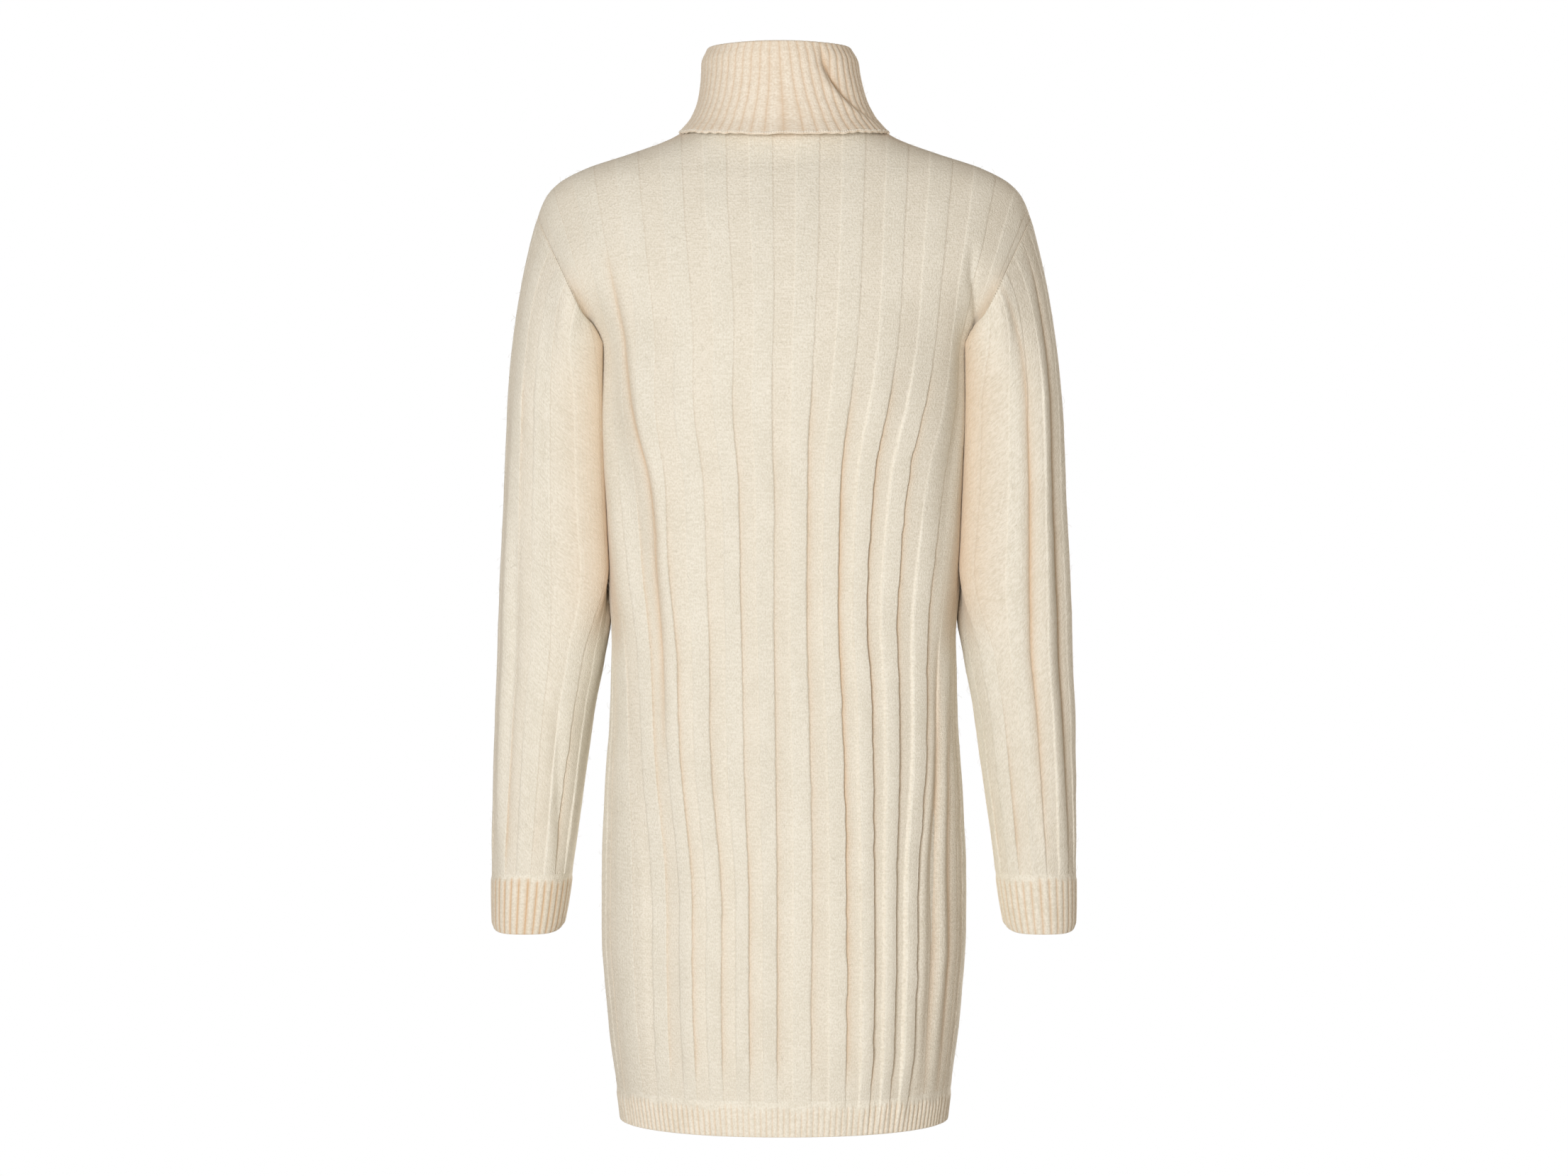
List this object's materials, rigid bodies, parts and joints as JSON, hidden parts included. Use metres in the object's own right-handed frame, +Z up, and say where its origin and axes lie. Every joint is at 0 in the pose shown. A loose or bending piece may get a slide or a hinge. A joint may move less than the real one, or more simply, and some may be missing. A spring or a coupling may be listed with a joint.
{
  "type": "sweater dress",
  "caption": "Long-sleeved knitted dress in wide flat rib with a folded roll neck and finer rib at cuffs and hem, in its worn hollow form.",
  "frame": {"origin": "centre of the neck base, level with the neck points of the shoulder seams, where the wearer's shoulders carry the dress", "axes": "+Z up, towards the wearer's head; the wearer faces +Y; +X towards the wearer's right"},
  "size_m": [0.5106, 0.248, 0.9165],
  "materials": {
    "back": "brushed wide-ribbed knit, cream heather, matte",
    "front": "brushed wide-ribbed knit, cream heather, matte",
    "hem_rib": "fine-ribbed knit, cream heather, matte",
    "sleeve": "brushed wide-ribbed knit, cream heather, matte",
    "cuff": "fine-ribbed knit, cream heather, matte",
    "collar": "fine-ribbed knit, cream heather, matte"
  },
  "bodies": {
    "root": {"back": "back", "front": "front", "hem_rib_back": "hem_rib", "hem_rib_front": "hem_rib", "sleeve_right": "sleeve", "sleeve_left": "sleeve", "cuff_right": "cuff", "cuff_left": "cuff", "collar": "collar"}
  },
  "joints": []
}
